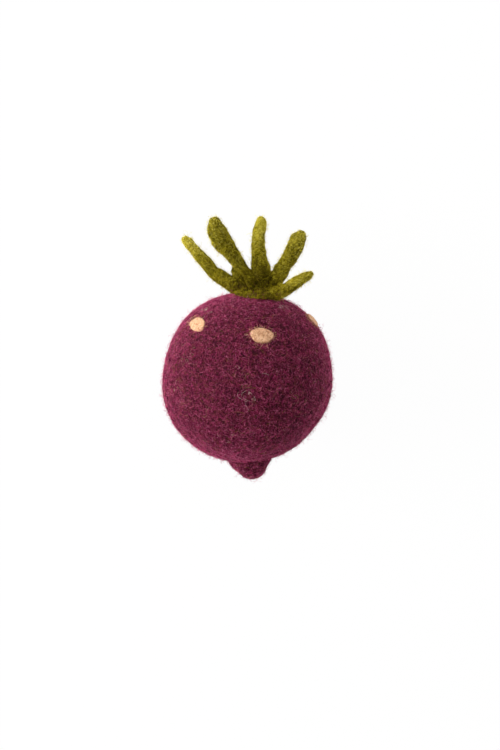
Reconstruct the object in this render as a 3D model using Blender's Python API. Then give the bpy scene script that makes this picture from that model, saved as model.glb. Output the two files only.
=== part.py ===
"""Felt beetroot: a play vegetable felted from dyed wool, lying on its side.

Metres, +Z up. The origin is the middle of the small flat on which the soft ball has settled.
The root's axis is level and runs along Y, with the tap at -Y and the leaves at +Y. Directions on
the ball are vectors from its centre.
"""

import math

import bmesh
import bpy
from mathutils import Vector

MM = 0.001

# Driving dimensions
BALL_RADIUS = 36.1 * MM
REST_RADIUS = 8.0 * MM
TAP_RISE = 8.2 * MM
TAP_SPREAD = math.radians(15.6)
TAP_LEAN = 1.0 * MM
TAP_FULLNESS = 1.8
TAP_SHOULDER = 0.95
PAD_MIDDLE = Vector((3.6, 34.4, 0.9)) * MM
PAD_SIZES = Vector((10.8, 4.2, 10.6)) * MM
LEAF_TIP = 0.16
SPOT_RIM = -0.25 * MM
SPOT_RISE = 0.35 * MM
SPOT_DEPTH = 1.2 * MM
POCKET_RISE = 2.0 * MM
GAP = 0.3 * MM

# The ball's centre stands over the origin, low enough for the flat to be cut by the floor.
CENTRE = Vector((0, 0, math.sqrt(BALL_RADIUS**2 - REST_RADIUS**2)))
TAP_WAY = Vector((1.1, -44.0, -0.8)).normalized()

# Where hand felting left the ball fuller or flatter: direction, height, spread in degrees.
LUMPS = (
    (Vector((-0.84, -0.54, 0.10)), 1.2 * MM, 30),
    (Vector((-0.42, -0.91, 0.00)), 0.5 * MM, 20),
    (Vector((0.74, 0.66, 0.10)), 0.8 * MM, 26),
    (Vector((-0.60, 0.80, 0.05)), 0.4 * MM, 22),
    (Vector((0.45, -0.88, 0.00)), -0.3 * MM, 22),
    (Vector((0.98, 0.18, 0.05)), -0.4 * MM, 16),
    (Vector((-0.96, 0.26, 0.00)), -0.5 * MM, 22),
    (Vector((0.25, 0.10, 0.96)), 0.5 * MM, 30),
    (Vector((-0.45, 0.20, -0.87)), -0.5 * MM, 24),
)

# Felt fingers of the crown. Each has its route in millimetres from the ball's centre, as
# x, y, z and half width, then its thickness as a share of its width and the way its face looks.
LEAVES = {
    "left": (
        (
            (2.0, 35.0, 1.0, 3.2),
            (-6.0, 38.9, 0.0, 3.2),
            (-12.7, 43.3, -2.0, 3.0),
            (-19.8, 50.6, -4.0, 2.5),
            (-24.6, 56.0, -5.2, 2.1),
            (-27.6, 59.0, -6.0, 1.9),
        ),
        0.85,
        Vector((0.0, 0.0, 1.0)),
    ),
    "broad": (
        (
            (3.6, 36.0, 5.0, 3.0),
            (-0.6, 44.6, 6.6, 2.8),
            (-4.7, 50.6, 8.0, 2.9),
            (-9.5, 56.4, 9.6, 4.1),
            (-12.8, 62.9, 11.3, 4.1),
            (-14.6, 69.0, 13.0, 2.4),
        ),
        0.62,
        Vector((0.3, 0.0, 1.0)),
    ),
    "middle": (
        (
            (5.2, 35.0, -1.0, 3.9),
            (5.9, 46.0, -3.0, 3.9),
            (4.7, 52.0, -5.5, 3.2),
            (4.4, 58.0, -8.0, 2.7),
            (5.2, 63.0, -10.0, 2.6),
            (5.9, 67.2, -12.0, 2.3),
        ),
        0.85,
        Vector((0.0, 0.0, 1.0)),
    ),
    "right": (
        (
            (6.0, 35.0, 0.5, 3.2),
            (10.8, 40.2, 1.0, 3.3),
            (14.7, 46.0, 2.0, 3.3),
            (17.9, 51.8, 3.0, 3.3),
            (20.4, 57.4, 4.0, 3.5),
            (22.9, 62.4, 5.0, 2.9),
        ),
        0.70,
        Vector((-0.2, 0.0, 1.0)),
    ),
    "short": (
        (
            (5.5, 35.0, 5.0, 2.8),
            (12.4, 36.4, 8.0, 2.9),
            (17.8, 39.4, 10.0, 2.6),
            (22.0, 42.2, 12.0, 2.3),
            (25.0, 43.9, 13.2, 2.0),
            (27.3, 45.2, 14.0, 1.6),
        ),
        0.85,
        Vector((0.0, 0.3, 1.0)),
    ),
    "back": (
        (
            (1.5, 35.0, -2.0, 2.8),
            (-1.0, 40.4, -5.5, 2.7),
            (-3.2, 44.8, -10.5, 2.5),
            (-4.9, 48.2, -15.8, 2.5),
            (-5.8, 50.2, -20.0, 2.4),
            (-6.6, 51.8, -24.0, 2.0),
        ),
        0.85,
        Vector((0.0, 1.0, 0.4)),
    ),
}

# Where each spot is needled in, in degrees towards the leaves and degrees round from the top,
# then its width round the ball and its height in millimetres.
SPOTS = {
    "spot_top": (36.5, 11.5, 10.5, 8.0),
    "spot_left": (42.5, -55.0, 8.6, 7.6),
    "spot_right": (40.0, 81.0, 10.0, 8.0),
    "spot_under_right": (38.0, 153.0, 9.8, 7.8),
    "spot_under_left": (40.0, -128.0, 9.2, 8.0),
}

# Edges that turn by more than this are drawn sharp.
SHARP = math.radians(40)

# Mesh densities
BALL_SIDES = 60
BALL_RINGS = 44
TAP_RINGS = 9
LEAF_SIDES = 12
LEAF_RINGS = 17
SPOT_SIDES = 20
SPOT_RINGS = 8
PAD_SIDES = 28
PAD_RINGS = 14


def clear_scene():
    for item in list(bpy.data.objects):
        bpy.data.objects.remove(item)


def felt(name, colour):
    """A dyed wool felt: fully rough, with no metal."""
    material = bpy.data.materials.new(name)
    material.use_nodes = True
    shader = material.node_tree.nodes["Principled BSDF"]
    shader.inputs["Base Color"].default_value = (*colour, 1.0)
    shader.inputs["Roughness"].default_value = 0.95
    shader.inputs["Metallic"].default_value = 0.0
    return material


def add_object(name, shape, material=None):
    """Turns a bmesh into an object of the scene, smooth except at sharp edges."""
    bmesh.ops.recalc_face_normals(shape, faces=shape.faces)
    if shape.calc_volume(signed=True) < 0:
        bmesh.ops.reverse_faces(shape, faces=shape.faces)
    mesh = bpy.data.meshes.new(name)
    shape.to_mesh(mesh)
    shape.free()
    mesh.shade_smooth()
    mesh.set_sharp_from_angle(angle=SHARP)
    item = bpy.data.objects.new(name, mesh)
    bpy.context.scene.collection.objects.link(item)
    if material:
        mesh.materials.append(material)
    return item


def helper(item):
    """Marks a cutter, which takes part in Booleans but isn't a piece."""
    item.hide_render = True
    item.display_type = "WIRE"
    return item


def combine(item, others, operation):
    """Applies one Boolean of a whole group of helpers, then removes the helpers."""
    group = bpy.data.collections.new("helpers")
    bpy.context.scene.collection.children.link(group)
    for other in others:
        group.objects.link(other)
    boolean = item.modifiers.new(operation.title(), "BOOLEAN")
    boolean.operand_type = "COLLECTION"
    boolean.collection = group
    boolean.operation = operation
    boolean.solver = "EXACT"
    graph = bpy.context.evaluated_depsgraph_get()
    made = bpy.data.meshes.new_from_object(item.evaluated_get(graph))
    made.set_sharp_from_angle(angle=SHARP)
    item.modifiers.clear()
    item.data = made
    for other in others:
        bpy.data.objects.remove(other)
    bpy.data.collections.remove(group)


def ball_radius(direction):
    """How far the skin is from the centre, with the lumps of hand felting."""
    reach = BALL_RADIUS
    for towards, height, spread in LUMPS:
        away = math.degrees(direction.angle(towards))
        reach += height * math.exp(-((away / spread) ** 2))
    return reach


def skin_point(direction, lift=0.0):
    """The point of the ball's skin that way from its centre, raised by lift."""
    way = direction.normalized()
    return CENTRE + way * (ball_radius(way) + lift)


def tap_rise(away):
    """How far the tap stands out of the ball at an angle from its own axis."""
    share = away / TAP_SPREAD
    if share >= 1.0:
        return 0.0
    return TAP_RISE * (1.0 - share**TAP_FULLNESS) ** TAP_SHOULDER


def ball(lift=0.0):
    """The ball and its blunt tap as one skin, with rings that crowd towards the tap."""
    crease = TAP_RINGS / BALL_RINGS
    crowding = (TAP_SPREAD / math.pi - crease**2) / (crease - crease**2)
    turn = Vector((0, 0, -1)).rotation_difference(TAP_WAY)
    shape = bmesh.new()
    bmesh.ops.create_uvsphere(
        shape, u_segments=BALL_SIDES, v_segments=BALL_RINGS, radius=1.0
    )
    for vertex in shape.verts:
        x, y, z = vertex.co
        share = math.acos(max(-1.0, min(1.0, -z))) / math.pi
        away = math.pi * (crowding * share + (1.0 - crowding) * share**2)
        round_about = math.atan2(y, x)
        flat = math.sin(away)
        way = Vector(
            (flat * math.cos(round_about), flat * math.sin(round_about), -math.cos(away))
        )
        way.rotate(turn)
        rise = tap_rise(away)
        lean = Vector((TAP_LEAN * rise / TAP_RISE, 0, 0))
        vertex.co = skin_point(way, lift + rise) + lean
    return shape


def settle(shape):
    """Cuts off what would be under the floor, which leaves the flat that the ball rests on."""
    geometry = shape.verts[:] + shape.edges[:] + shape.faces[:]
    cut = bmesh.ops.bisect_plane(
        shape, geom=geometry, plane_co=(0, 0, 0), plane_no=(0, 0, -1), clear_outer=True
    )
    rim = [part for part in cut["geom_cut"] if isinstance(part, bmesh.types.BMEdge)]
    bmesh.ops.contextual_create(shape, geom=rim)


def blend_points(points, share):
    """A point of the smooth curve through points, share of the way along it."""
    spans = len(points) - 1
    place = min(share, 0.999999) * spans
    span = int(place)
    t = place - span
    a, b, c, d = (points[max(0, min(spans, span + n))] for n in (-1, 0, 1, 2))
    return 0.5 * (
        2 * b + (c - a) * t + (2 * a - 5 * b + 4 * c - d) * t**2 + (3 * b - a - 3 * c + d) * t**3
    )


def finger(route, thickness, face):
    """A felted leaf: a sphere drawn out along its route, with a flattened section."""
    points = [Vector(stop) * MM for stop in route]
    shape = bmesh.new()
    bmesh.ops.create_uvsphere(
        shape, u_segments=LEAF_SIDES, v_segments=LEAF_RINGS, radius=1.0
    )
    for vertex in shape.verts:
        turn = math.atan2(vertex.co.y, vertex.co.x)
        level = math.acos(max(-1.0, min(1.0, -vertex.co.z)))
        share = 0.5 * level / math.pi + 0.25 * (1.0 - math.cos(level))
        here = blend_points(points, share)
        ahead = blend_points(points, min(1.0, share + 0.01))
        behind = blend_points(points, max(0.0, share - 0.01))
        way = (ahead - behind).to_3d().normalized()
        side = way.cross(face).normalized()
        front = side.cross(way).normalized()
        past = max(0.0, (share - 1.0 + LEAF_TIP) / LEAF_TIP)
        closing = math.sqrt(max(0.0, 1.0 - past**2)) if share > 0.0 else 0.0
        half_width = here.w * closing
        half_depth = half_width * thickness
        across = side * math.cos(turn) * half_width + front * math.sin(turn) * half_depth
        vertex.co = CENTRE + here.to_3d() + across
    return shape


def crown_pad():
    """The low pad in which the leaves' feet are felted together, on top of the ball."""
    shape = bmesh.new()
    bmesh.ops.create_uvsphere(
        shape, u_segments=PAD_SIDES, v_segments=PAD_RINGS, radius=1.0
    )
    for vertex in shape.verts:
        x, y, z = vertex.co
        vertex.co = CENTRE + PAD_MIDDLE + Vector((x, z, y)) * PAD_SIZES
    return shape


def spot(place, rise, depth, grow=0.0):
    """A lens of felt let into the skin, with how far it goes out and in from its rim."""
    upward, round_about = (math.radians(angle) for angle in place[:2])
    half_width, half_height = (0.5 * size * MM + grow for size in place[2:])
    ring = Vector((math.sin(round_about), 0, math.cos(round_about)))
    out = ring * math.cos(upward) + Vector((0, math.sin(upward), 0))
    across = Vector((0, 1, 0)).cross(out).normalized()
    along = out.cross(across).normalized()
    shape = bmesh.new()
    bmesh.ops.create_uvsphere(
        shape, u_segments=SPOT_SIDES, v_segments=SPOT_RINGS, radius=1.0
    )
    for vertex in shape.verts:
        x, y, z = vertex.co
        turn = math.atan2(y, x)
        wander = 1.0 + 0.05 * math.sin(3 * turn + round_about) + 0.03 * math.sin(5 * turn)
        sideways = (across * x * half_width + along * y * half_height) * wander
        lift = SPOT_RIM + z * (rise if z > 0 else depth)
        vertex.co = skin_point(out * BALL_RADIUS + sideways, lift)
    return shape


def build():
    clear_scene()
    beet_wool = felt("beet_wool", (0.105, 0.018, 0.038))
    leaf_wool = felt("leaf_wool", (0.165, 0.130, 0.012))
    cream_wool = felt("cream_wool", (0.78, 0.46, 0.27))

    root_shape = ball()
    settle(root_shape)
    root = add_object("root", root_shape, beet_wool)

    pockets = []
    for name, place in SPOTS.items():
        add_object(name, spot(place, SPOT_RISE, SPOT_DEPTH), cream_wool)
        pocket = spot(place, POCKET_RISE, SPOT_DEPTH + GAP, GAP)
        pockets.append(helper(add_object(f"{name}_pocket", pocket)))
    combine(root, pockets, "DIFFERENCE")

    crown = add_object("leaf_crown", crown_pad(), leaf_wool)
    fingers = []
    for name, leaf in LEAVES.items():
        fingers.append(helper(add_object(f"{name}_leaf", finger(*leaf))))
    combine(crown, fingers, "UNION")
    combine(crown, [helper(add_object("seat", ball(GAP)))], "DIFFERENCE")


build()
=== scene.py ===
# %% [markdown]
# # A felted beetroot, seen from above
#
# This notebook dresses a play beetroot that was felted by hand from dyed wool. Its construction is
# already settled: a burgundy ball with a blunt tap, a crown of green felt fingers and five cream
# spots let into the skin. What is left is the wool itself. Felt has no threads and no weave. It is
# a mat of curly fibres that lie in every direction, and its look comes from three things: a soft,
# slightly lumpy body, thousands of fibres of slightly different dyes, and a haze of loose ends that
# catches the light round the outline. Each of the three is made here as real geometry.

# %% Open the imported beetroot
import math
from collections import namedtuple

import bpy
import numpy as np
from mathutils import Matrix, Vector
from mathutils.bvhtree import BVHTree
from mathutils.noise import noise as soft_noise


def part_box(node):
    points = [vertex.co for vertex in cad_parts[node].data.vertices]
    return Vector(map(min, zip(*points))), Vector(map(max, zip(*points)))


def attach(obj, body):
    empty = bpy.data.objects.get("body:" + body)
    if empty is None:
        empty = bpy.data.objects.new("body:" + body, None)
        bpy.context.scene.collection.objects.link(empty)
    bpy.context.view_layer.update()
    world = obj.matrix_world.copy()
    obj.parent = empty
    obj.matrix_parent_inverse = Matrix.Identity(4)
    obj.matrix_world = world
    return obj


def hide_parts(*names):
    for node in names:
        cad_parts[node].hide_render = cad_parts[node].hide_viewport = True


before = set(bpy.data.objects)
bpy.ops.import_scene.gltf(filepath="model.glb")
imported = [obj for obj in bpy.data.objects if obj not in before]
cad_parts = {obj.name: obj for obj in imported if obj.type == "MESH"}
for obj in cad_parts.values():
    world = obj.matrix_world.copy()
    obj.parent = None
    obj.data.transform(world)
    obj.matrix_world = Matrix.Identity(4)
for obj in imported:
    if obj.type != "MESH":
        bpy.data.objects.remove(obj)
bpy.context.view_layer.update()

MM = 0.001
SPOTS = sorted(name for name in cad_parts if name.startswith("spot_"))
print("pieces:", ", ".join(sorted(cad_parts)))

# %% [markdown]
# ## The camera
#
# The beetroot lies on its side, and the picture looks down on it, so the camera hangs above. It
# leans by a few degrees towards the leaves, which is why the front edge of the leaf pad shows over
# the ball and the tap half hides behind it. A long lens keeps the shapes nearly free of
# perspective. The distance follows from the lens and from how much of the picture the ball takes.

# %% Hang the camera over the ball
BALL_MIDDLE = Vector((0.0, 0.0, 35.2 * MM))
PICTURE_WIDTH, PICTURE_HEIGHT = 500, 750
PIXEL = 0.42478 * MM
BALL_PIXEL = (247.75, 377.0)
CAMERA_LEAN = math.radians(8)
LENS, SENSOR = 85.0, 36.0

LOOK = Vector((0.0, -math.sin(CAMERA_LEAN), -math.cos(CAMERA_LEAN)))
PICTURE_UP = Vector((0.0, math.cos(CAMERA_LEAN), -math.sin(CAMERA_LEAN)))
PICTURE_RIGHT = Vector((1.0, 0.0, 0.0))
across = (PICTURE_WIDTH / 2 - BALL_PIXEL[0]) * PIXEL
upwards = (BALL_PIXEL[1] - PICTURE_HEIGHT / 2) * PIXEL
camera_distance = PICTURE_HEIGHT * PIXEL * LENS / SENSOR
camera_place = BALL_MIDDLE + PICTURE_RIGHT * across + PICTURE_UP * upwards - LOOK * camera_distance

camera_axes = Matrix((PICTURE_RIGHT, PICTURE_UP, -LOOK)).transposed()
bpy.ops.object.camera_add(location=camera_place, rotation=camera_axes.to_euler())
camera = bpy.context.object
camera.name = "camera"
camera.data.lens = LENS
camera.data.sensor_width = SENSOR
camera.data.clip_end = 20.0
bpy.context.scene.camera = camera
print(f"camera {camera_distance:.3f} m from the ball's middle")

# %% [markdown]
# ## Floor and light
#
# Felt hides its own shading, so the light can be very plain: a white table lit from beneath, and a
# white tent round it that is brighter at the sides than overhead. The tent's darkest part leans a
# little to the right and towards the tap. A large soft lamp on the left and a weaker one above the
# leaves add some shape. Table and tent send light round the ball's edge, and that turns the loose
# fibres there pale, together with the paler colour they are given as painted light. The table is only
# just white, because a brighter one would swallow them.

# %% Lay the floor
FLOOR_SIZE = 6.0
TABLE_GLOW = 0.97
TABLE_PAINT = (0.04, 0.04, 0.04, 1.0)
WHITE = (1.0, 1.0, 1.0, 1.0)

bpy.ops.object.select_all(action="DESELECT")
bpy.ops.mesh.primitive_plane_add(size=FLOOR_SIZE, location=(0, 0, 0))
floor = bpy.context.object
floor.name = "floor"
table_top = bpy.data.materials.new("pale_table")
table_top.use_nodes = True
table_shader = table_top.node_tree.nodes["Principled BSDF"]
table_shader.inputs["Base Color"].default_value = TABLE_PAINT
table_shader.inputs["Specular IOR Level"].default_value = 0.0
table_shader.inputs["Roughness"].default_value = 1.0
table_shader.inputs["Emission Color"].default_value = WHITE
table_shader.inputs["Emission Strength"].default_value = TABLE_GLOW
floor.data.materials.append(table_top)
print(f"floor {FLOOR_SIZE:.0f} m wide, glowing at {TABLE_GLOW}")

# %% [markdown]
# Both lamps are large squares that face the ball, so their shadows have no edge.

# %% Hang the lamps
WARM_TINT, WHITE_TINT = (1.0, 0.985, 0.97), (1.0, 1.0, 1.0)


def soft_lamp(name, place, size, power, tint):
    """A square lamp that faces the ball."""
    facing = (BALL_MIDDLE - Vector(place)).to_track_quat("-Z", "Y").to_euler()
    bpy.ops.object.light_add(type="AREA", location=place, rotation=facing)
    lamp = bpy.context.object
    lamp.name = name
    lamp.data.shape = "SQUARE"
    lamp.data.size = size
    lamp.data.energy = power
    lamp.data.color = tint
    print(f"{name}: {power:.0f} W, {size} m wide")


soft_lamp("left_lamp", (-1.0, 0.1, 0.4), 0.7, 12.0, WARM_TINT)
soft_lamp("top_lamp", (0.1, 0.5, 1.3), 1.0, 3.0, WHITE_TINT)

# %% [markdown]
# The tent is the world itself. How bright it is in a direction follows from how near that is to
# the darkest one: their dot product is 1 where the two are the same, and less further away.

# %% Put up the tent
LIGHT_OVERHEAD, LIGHT_AT_SIDES = 0.27, 3.0
TENT_DARKEST = Vector((0.08, -0.13, 0.985))
TENT_SIDES, TENT_TOP = -0.2, 0.38

tent = bpy.context.scene.world or bpy.data.worlds.new("tent")
bpy.context.scene.world = tent
tent.use_nodes = True
tent_nodes, tent_links = tent.node_tree.nodes, tent.node_tree.links
direction = tent_nodes.new("ShaderNodeTexCoord")
nearness = tent_nodes.new("ShaderNodeVectorMath")
nearness.operation = "DOT_PRODUCT"
nearness.inputs[1].default_value = TENT_DARKEST
glow = tent_nodes.new("ShaderNodeMapRange")
glow.inputs["From Min"].default_value = TENT_SIDES
glow.inputs["From Max"].default_value = TENT_TOP
glow.inputs["To Min"].default_value = LIGHT_AT_SIDES
glow.inputs["To Max"].default_value = LIGHT_OVERHEAD
tent_links.new(direction.outputs["Generated"], nearness.inputs[0])
tent_links.new(nearness.outputs["Value"], glow.inputs["Value"])
tent_links.new(glow.outputs["Result"], tent_nodes["Background"].inputs["Strength"])
tent_nodes["Background"].inputs["Color"].default_value = WHITE
bpy.context.scene.view_settings.view_transform = "Standard"
print(f"tent glows at {LIGHT_OVERHEAD} overhead and {LIGHT_AT_SIDES} at the sides")

# %% [markdown]
# ## Copies to work on
#
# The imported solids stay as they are. Each soft skin starts as a copy of one, with its loose
# triangles merged, and is then remeshed, smoothed and pushed about with modifiers, each of which is
# applied at once. A few small helpers keep those steps readable.

# %% Copy a solid and apply modifiers
MERGE_DISTANCE = 0.001 * MM
CLOUD_LAYERS = 2


def take_up(*chosen):
    """Makes these pieces the only ones that operators act on."""
    bpy.ops.object.select_all(action="DESELECT")
    for piece in chosen:
        piece.select_set(True)
    bpy.context.view_layer.objects.active = chosen[0]


def copy_of(node, name):
    """A new piece with a node's shape, merged into one closed mesh."""
    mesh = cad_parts[node].data.copy()
    mesh.materials.clear()
    piece = bpy.data.objects.new(name, mesh)
    bpy.context.scene.collection.objects.link(piece)
    take_up(piece)
    bpy.ops.object.mode_set(mode="EDIT")
    bpy.ops.mesh.select_all(action="SELECT")
    bpy.ops.mesh.remove_doubles(threshold=MERGE_DISTANCE)
    bpy.ops.object.mode_set(mode="OBJECT")
    return piece


def finish_with(piece, kind, **settings):
    """Adds one modifier, sets it and applies it."""
    take_up(piece)
    modifier = piece.modifiers.new(kind.title(), kind)
    for setting, value in settings.items():
        setattr(modifier, setting, value)
    bpy.ops.object.modifier_apply(modifier=modifier.name)


def push(piece, grain, height):
    """Raises and lowers a skin by soft noise whose features are about a grain across."""
    clouds = bpy.data.textures.new(f"{piece.name}_clouds", "CLOUDS")
    clouds.noise_scale = grain
    clouds.noise_depth = CLOUD_LAYERS
    finish_with(
        piece,
        "DISPLACE",
        texture=clouds,
        texture_coords="LOCAL",
        strength=height,
        mid_level=0.5,
    )


def grow(piece, distance):
    """Moves a skin outwards all over."""
    finish_with(piece, "DISPLACE", strength=distance, mid_level=0.0)


def triangles_in(piece):
    piece.data.calc_loop_triangles()
    return len(piece.data.loop_triangles)


print("triangles of the ball's solid:", len(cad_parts["root"].data.polygons))

# %% [markdown]
# A skin's shape is changed by moving its vertices. They are read all at once as rows of numbers,
# changed and put back. A number can be stored on each of them too, such as how deep it lies in a
# crease: the skin is evened out in a copy, and what then lies under the copy is a hollow.

# %% Read, mark and move vertices
FLOOR_CLEARANCE = 0.03 * MM


def points_of(piece):
    """Where a skin's vertices are."""
    points = np.empty(len(piece.data.vertices) * 3, np.float32)
    piece.data.vertices.foreach_get("co", points)
    return points.reshape(-1, 3)


def put_points(piece, points):
    """Moves a skin's vertices to these places."""
    piece.data.vertices.foreach_set("co", points.astype(np.float32).ravel())
    piece.data.update()


def note(piece, name, values):
    """Stores a number on each vertex, for a material to read."""
    layer = piece.data.attributes.new(name, "FLOAT", "POINT")
    layer.data.foreach_set("value", values.astype(np.float32))


def keep_off_floor(piece):
    """Flattens whatever hangs below the floor."""
    points = points_of(piece)
    points[:, 2] = np.maximum(points[:, 2], FLOOR_CLEARANCE)
    put_points(piece, points)


def deepen_hollows(piece, rounds, full_depth, deeper):
    """Sinks a skin's creases, and notes how deep each vertex lies in one, from 0 to 1."""
    points = points_of(piece)
    count = len(points)
    edges = np.empty(len(piece.data.edges) * 2, np.int32)
    piece.data.edges.foreach_get("vertices", edges)
    ends = np.concatenate([edges, edges.reshape(-1, 2)[:, ::-1].ravel()]).reshape(-1, 2)
    neighbours = np.bincount(ends[:, 0], minlength=count)
    even = points.astype(float)
    for _ in range(rounds):
        sums = [np.bincount(ends[:, 0], even[ends[:, 1], k], count) for k in range(3)]
        even = np.stack(sums, 1) / neighbours[:, None]
    outward = np.empty(count * 3, np.float32)
    piece.data.vertex_normals.foreach_get("vector", outward)
    outward = outward.reshape(-1, 3)
    hollow = np.clip(((even - points) * outward).sum(1) / full_depth, 0, 1)
    note(piece, "hollow", hollow)
    put_points(piece, points - outward * (hollow * deeper)[:, None])


lowest = min(points_of(node)[:, 2].min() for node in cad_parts.values())
print(f"the solids stand at {lowest / MM:.2f} mm")

# %% [markdown]
# Small forms are placed by what the picture shows. A ray from the camera through a pixel finds the
# place on a skin that is seen there. The same sum the other way round tells at which pixel a vertex
# is seen, so that a nudge can pull the vertices round one place and leave the rest.

# %% Find places by the picture


def surface_of(piece):
    """A skin's vertices, and the three vertex numbers of each triangle."""
    mesh = piece.data
    mesh.calc_loop_triangles()
    corners = np.empty(len(mesh.loop_triangles) * 3, np.int32)
    mesh.loop_triangles.foreach_get("vertices", corners)
    return points_of(piece), corners.reshape(-1, 3)


def search_tree(*skins):
    """A tree that finds places on any of these skins."""
    points, corners, so_far = [], [], 0
    for skin in skins:
        some_points, some_corners = surface_of(skin)
        points.append(some_points)
        corners.append(some_corners + so_far)
        so_far += len(some_points)
    return BVHTree.FromPolygons(
        np.concatenate(points).tolist(), np.concatenate(corners).tolist(), all_triangles=True
    )


def ray_through(x, y):
    """The way from the camera through a pixel of the picture."""
    sideways = PICTURE_RIGHT * (x - PICTURE_WIDTH / 2) * PIXEL
    upright = PICTURE_UP * (PICTURE_HEIGHT / 2 - y) * PIXEL
    return LOOK * camera_distance + sideways + upright


def under_pixel(tree, x, y):
    """The place on a skin that the camera sees at a pixel."""
    return tree.ray_cast(camera_place, ray_through(x, y))[0]


def seen_at(points):
    """The pixels of the picture where these places are seen."""
    away = points - np.array(camera_place)
    scale = camera_distance / (away @ np.array(LOOK)) / PIXEL
    right = away @ np.array(PICTURE_RIGHT) * scale
    up = away @ np.array(PICTURE_UP) * scale
    return np.stack([PICTURE_WIDTH / 2 + right, PICTURE_HEIGHT / 2 - up], 1)


def nudge(piece, nudges):
    """Pulls bits of a skin sideways: where in the picture, how far and over what reach, in pixels."""
    points = points_of(piece).astype(float)
    seen = seen_at(points)
    for place, (right, down), reach in nudges:
        share = np.exp(-((seen - place) ** 2).sum(1) / reach**2)
        pull = np.array(PICTURE_RIGHT * right - PICTURE_UP * down) * PIXEL
        points += share[:, None] * pull
    put_points(piece, points)


print("the ball's middle is seen at pixel", seen_at(np.array([BALL_MIDDLE]))[0].round(2))

# %% [markdown]
# ## The ball's skin
#
# A felted ball is one soft body, with no edge where the tap grows out of it. A voxel remesh turns
# the solid into an even grid fine enough to carry the felt's small hills, and a smooth modifier
# melts the crease of the tap. The pockets of the spots are stopped first with copies of the spots,
# grown until they touch the pocket's wall and sunk a little, so that each leaves a shallow dip. A
# few nudges then set the outline where the picture has it.

# %% Make the root's skin
PLUG_GROWTH = 0.35 * MM
PLUG_SINK = 0.15 * MM
ROOT_VOXEL = 0.85 * MM
WOOL_DEPTH = 0.15 * MM
HILL_GRAIN, HILL_HEIGHT = 6.0 * MM, 0.5 * MM
TUFT_GRAIN, TUFT_HEIGHT = 1.2 * MM, 0.2 * MM
ROOT_NUDGES = (
    ((318, 432), (-1.3, -1.0), 20),
    ((238, 473), (0.6, -0.9), 6),
    ((268, 466), (-1.5, -0.3), 6),
)


def spot_middle(node):
    low, high = (Vector(corner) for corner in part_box(node))
    return (low + high) / 2


def out_of_ball(place):
    return (Vector(place) - BALL_MIDDLE).normalized()


root_skin = copy_of("root", "root_skin")
plugs = []
for spot in SPOTS:
    plug = copy_of(spot, f"{spot}_plug")
    grow(plug, PLUG_GROWTH)
    plug.data.transform(Matrix.Translation(out_of_ball(spot_middle(spot)) * -PLUG_SINK))
    plugs.append(plug)
take_up(root_skin, *plugs)
bpy.ops.object.join()

finish_with(root_skin, "REMESH", mode="VOXEL", voxel_size=ROOT_VOXEL)
finish_with(root_skin, "SMOOTH", factor=0.5, iterations=2)
grow(root_skin, -WOOL_DEPTH)
nudge(root_skin, ROOT_NUDGES)
deepen_hollows(root_skin, rounds=12, full_depth=0.5 * MM, deeper=0.6 * MM)
push(root_skin, HILL_GRAIN, HILL_HEIGHT)
push(root_skin, TUFT_GRAIN, TUFT_HEIGHT)
keep_off_floor(root_skin)
root_skin.data.shade_smooth()
print("root skin:", triangles_in(root_skin), "triangles")

# %% [markdown]
# ## The leaves' skin
#
# The felt fingers were rolled by hand, so they are lumpier than the ball for their size, and they
# run into each other at the foot. Knots of felt are joined to the solid's copy first: the tuft at
# the end of one leaf, the knob at the end of the broad one, and the shoulders at their feet. Each
# starts as a small ball at its leaf's own height, and the remesh that follows melts it in.

# %% Add the knots of felt
KNOTS = {
    # where in the picture, how high over the floor and the radius, in millimetres
    "left_tip_tuft": ((185.4, 239.0), 29.5, 1.3),
    "left_tip_side": ((189.6, 241.0), 29.8, 1.4),
    "broad_tip_knob": ((213.6, 222.4), 47.2, 1.8),
    "right_shoulder": ((277.5, 267.0), 37.0, 1.4),
    "back_side": ((234.8, 271.0), 24.2, 1.6),
    "back_foot": ((237.0, 277.0), 27.0, 2.4),
}
KNOT_ROUNDNESS = 3


def add_knot(place, height, radius):
    """A small ball of felt, to be melted into the leaves."""
    ray = ray_through(*place)
    middle = camera_place + ray * ((height * MM - camera_place.z) / ray.z)
    bpy.ops.object.select_all(action="DESELECT")
    bpy.ops.mesh.primitive_ico_sphere_add(
        subdivisions=KNOT_ROUNDNESS, radius=radius * MM, location=middle
    )
    knot = bpy.context.object
    bpy.ops.object.transform_apply(location=True, rotation=True, scale=True)
    return knot


leaf_skin = copy_of("leaf_crown", "leaf_skin")
take_up(leaf_skin, *(add_knot(*knot) for knot in KNOTS.values()))
bpy.ops.object.join()
print("knots joined to the leaves:", len(KNOTS))

# %% [markdown]
# Where the feet of the leaves were needled together, a groove is left between them. It is pressed
# in along a line of the picture, straight away from the camera, and only where the skin faces it.

# %% Describe and press a groove
GROOVES = (
    # the line along a groove in the picture, how wide in pixels and how deep in millimetres
    (((267, 290), (275, 286.5), (282, 283.5), (287, 281.5)), 2.2, 2.2),
    (((272, 274), (270.5, 280), (267, 286)), 1.8, 1.7),
    (((252.5, 271), (254.5, 277), (256, 284)), 1.8, 1.7),
    (((232, 267), (238, 273), (243, 280), (246.5, 287)), 2.0, 2.0),
    (((228, 276), (235, 279), (241, 283)), 1.8, 1.5),
)


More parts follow.
